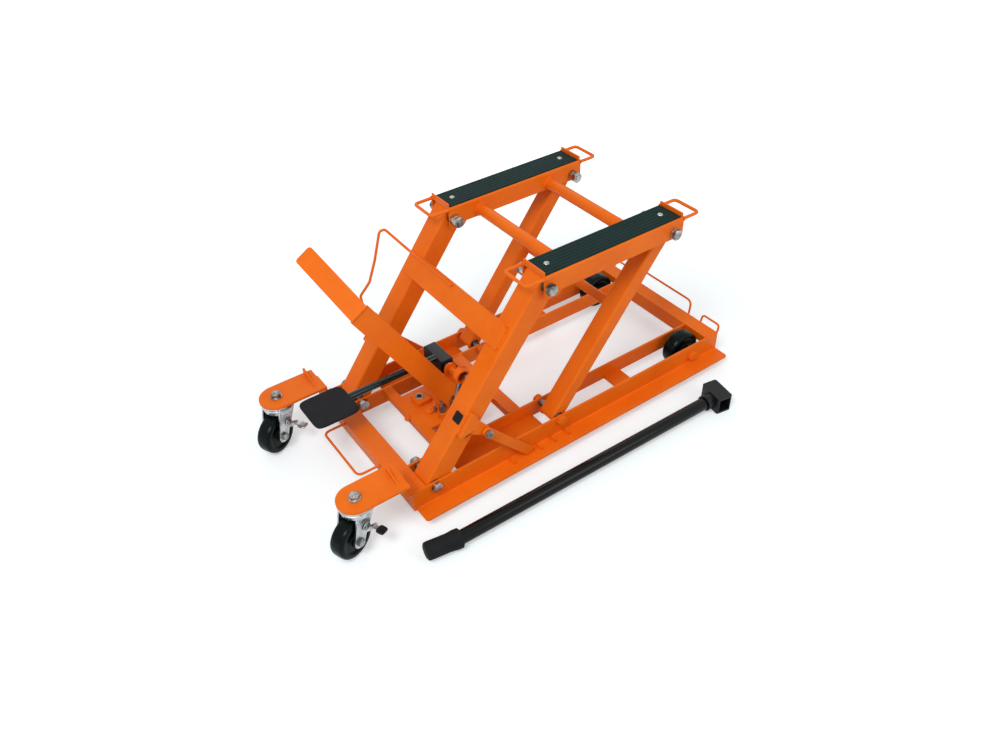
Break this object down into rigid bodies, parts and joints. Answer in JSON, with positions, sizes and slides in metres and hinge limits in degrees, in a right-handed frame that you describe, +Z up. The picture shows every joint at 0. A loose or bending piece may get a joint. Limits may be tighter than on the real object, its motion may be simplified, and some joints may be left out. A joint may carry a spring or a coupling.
{
  "type": "hydraulic motorcycle lift",
  "caption": "Foot-pumped hydraulic motorcycle lift with a parallel arm linkage, ribbed saddles, swivel casters and a tow handle beside it.",
  "frame": {"origin": "on the floor, midway between the two front lower pivots", "axes": "+X from the front casters to the rear wheels, +Y to the side away from the tow handle, +Z up"},
  "size_m": [0.9014, 0.4961, 0.4159],
  "materials": {
    "orange_paint": "gloss powder coat",
    "black_paint": "gloss powder coat",
    "zinc_steel": "bright zinc plating",
    "plain_steel": "turned",
    "mat_rubber": "ribbed",
    "pad_rubber": "moulded",
    "grip_rubber": "foam",
    "wheel_black": "moulded"
  },
  "bodies": {
    "base": {"rail_outer_far": "orange_paint", "rail_outer_near": "orange_paint", "rail_inner_far": "orange_paint", "rail_inner_near": "orange_paint", "rail_plates": "orange_paint", "front_cross_member": "orange_paint", "rear_cross_member": "orange_paint", "jack_cross_member": "orange_paint", "mid_cross_member": "orange_paint", "base_loops": "orange_paint", "base_bolts": "zinc_steel", "base_nuts": "zinc_steel", "caster_brackets": "orange_paint", "caster_stems": "zinc_steel", "jack_bed": "orange_paint", "pump_body": "orange_paint", "jack_fittings": "zinc_steel"},
    "front_arms": {"front_arm_far": "orange_paint", "front_arm_near": "orange_paint", "front_arm_bushes": "plain_steel", "front_cross_plate": "orange_paint", "arm_pad": "pad_rubber", "lock_brackets": "orange_paint", "front_arm_pins": "zinc_steel", "release_rod": "orange_paint"},
    "rear_arms": {"rear_arm_far": "orange_paint", "rear_arm_near": "orange_paint", "rear_arm_bushes": "plain_steel", "rear_cross_bar": "orange_paint"},
    "platform": {"saddle_far": "orange_paint", "saddle_near": "orange_paint", "mat_far": "mat_rubber", "mat_near": "mat_rubber", "mat_rivets": "zinc_steel", "saddle_ends": "orange_paint", "cross_tubes": "orange_paint", "upper_pivot_bolts": "zinc_steel", "upper_pivot_nuts": "zinc_steel"},
    "pump_lever": {"pump_lever": "orange_paint"},
    "plunger": {"pump_plunger": "zinc_steel"},
    "release_pedal": {"release_shaft": "plain_steel", "release_arm": "black_paint", "release_pad": "pad_rubber"},
    "lock_near": {"lock_strut_near": "orange_paint"},
    "lock_far": {"lock_strut_far": "orange_paint"},
    "ram_barrel": {"ram_barrel": "black_paint"},
    "ram_rod": {"ram_rod": "zinc_steel"},
    "tow_handle": {"tow_tube": "black_paint", "tow_grip": "grip_rubber", "tow_claw": "black_paint"},
    "caster_near": {"caster_fork_near": "zinc_steel", "caster_axle_near": "zinc_steel"},
    "caster_wheel_near": {"caster_wheel_near": "wheel_black"},
    "brake_near": {"caster_brake_near": "zinc_steel"},
    "rear_wheel_near": {"rear_wheel_near": "wheel_black"},
    "caster_far": {"caster_fork_far": "zinc_steel", "caster_axle_far": "zinc_steel"},
    "caster_wheel_far": {"caster_wheel_far": "wheel_black"},
    "brake_far": {"caster_brake_far": "zinc_steel"},
    "rear_wheel_far": {"rear_wheel_far": "wheel_black"}
  },
  "joints": [
    {"name": "front_arms_lift", "type": "hinge", "parent": "base", "child": "front_arms", "pos_m": [0, 0, 0.0524], "axis": [0, -1, 0], "range_deg": [-45.7, 1]},
    {"name": "rear_arms_follow", "type": "hinge", "parent": "base", "child": "rear_arms", "pos_m": [0.272, 0, 0.0524], "axis": [0, -1, 0], "range_deg": [-45.7, 1]},
    {"name": "platform_level", "type": "hinge", "parent": "front_arms", "child": "platform", "pos_m": [0.23903, 0, 0.36056], "axis": [0, -1, 0], "range_deg": [-1, 45.7]},
    {"name": "ram_tilt", "type": "hinge", "parent": "base", "child": "ram_barrel", "pos_m": [0.07, -0.088, 0.038], "axis": [0, -1, 0], "range_deg": [-57.45, 1.31]},
    {"name": "ram_stroke", "type": "slide", "parent": "ram_barrel", "child": "ram_rod", "axis": [0.2634, 0, 0.9647], "range_m": [-0.04645, 0.00111]},
    {"name": "pump_lever_pivot", "type": "hinge", "parent": "base", "child": "pump_lever", "pos_m": [0.124, -0.033, 0.093], "axis": [0, -1, 0], "range_deg": [0, 30], "stiffness_Nm_per_rad": 6, "springref_deg": -28.65},
    {"name": "plunger_stroke", "type": "slide", "parent": "base", "child": "plunger", "axis": [0, 0, 1], "range_m": [-0.0072, 0]},
    {"name": "release_pedal_pivot", "type": "hinge", "parent": "base", "child": "release_pedal", "pos_m": [0.16, 0, 0.1], "axis": [0, -1, 0], "range_deg": [0, 7], "stiffness_Nm_per_rad": 12, "springref_deg": -22.92},
    {"name": "lock_swing_near", "type": "hinge", "parent": "front_arms", "child": "lock_near", "pos_m": [0.10283, -0.176, 0.12704], "axis": [0, -1, 0], "range_deg": [-2.85, 128.01]},
    {"name": "caster_swivel_near", "type": "hinge", "parent": "base", "child": "caster_near", "pos_m": [-0.142, -0.153, 0.09], "axis": [0, 0, 1], "continuous": true},
    {"name": "caster_roll_near", "type": "hinge", "parent": "caster_near", "child": "caster_wheel_near", "pos_m": [-0.16534, -0.16196, 0.038], "axis": [0.3584, -0.9336, 0], "continuous": true},
    {"name": "caster_brake_near", "type": "hinge", "parent": "caster_near", "child": "brake_near", "pos_m": [-0.14947, -0.15587, 0.06], "axis": [-0.3584, 0.9336, 0], "range_deg": [0, 15]},
    {"name": "rear_wheel_roll_near", "type": "hinge", "parent": "base", "child": "rear_wheel_near", "pos_m": [0.609, -0.1323, 0.038], "axis": [0, 1, 0], "continuous": true},
    {"name": "lock_swing_far", "type": "hinge", "parent": "front_arms", "child": "lock_far", "pos_m": [0.10283, 0.176, 0.12704], "axis": [0, -1, 0], "range_deg": [-2.85, 128.01]},
    {"name": "caster_swivel_far", "type": "hinge", "parent": "base", "child": "caster_far", "pos_m": [-0.142, 0.153, 0.09], "axis": [0, 0, 1], "continuous": true},
    {"name": "caster_roll_far", "type": "hinge", "parent": "caster_far", "child": "caster_wheel_far", "pos_m": [-0.16407, 0.14126, 0.038], "axis": [0.4695, -0.8829, 0], "continuous": true},
    {"name": "caster_brake_far", "type": "hinge", "parent": "caster_far", "child": "brake_far", "pos_m": [-0.14906, 0.14924, 0.06], "axis": [-0.4695, 0.8829, 0], "range_deg": [0, 15]},
    {"name": "rear_wheel_roll_far", "type": "hinge", "parent": "base", "child": "rear_wheel_far", "pos_m": [0.609, 0.1323, 0.038], "axis": [0, 1, 0], "continuous": true},
    {"name": "tow_handle_lift", "type": "slide", "parent": "base", "child": "tow_handle", "axis": [0, 0, 1], "range_m": [0, 0.3]}
  ],
  "couplings": [
    {"joint": "rear_arms_follow", "follows": "front_arms_lift", "ratio": 1},
    {"joint": "platform_level", "follows": "front_arms_lift", "ratio": -1},
    {"joint": "ram_tilt", "follows": "front_arms_lift", "ratio": 1.256},
    {"joint": "ram_stroke", "follows": "front_arms_lift", "m_per_rad": 0.058104},
    {"joint": "plunger_stroke", "follows": "pump_lever_pivot", "m_per_rad": -0.01356},
    {"joint": "lock_swing_near", "follows": "front_arms_lift", "ratio": -2.8},
    {"joint": "lock_swing_far", "follows": "front_arms_lift", "ratio": -2.8}
  ]
}
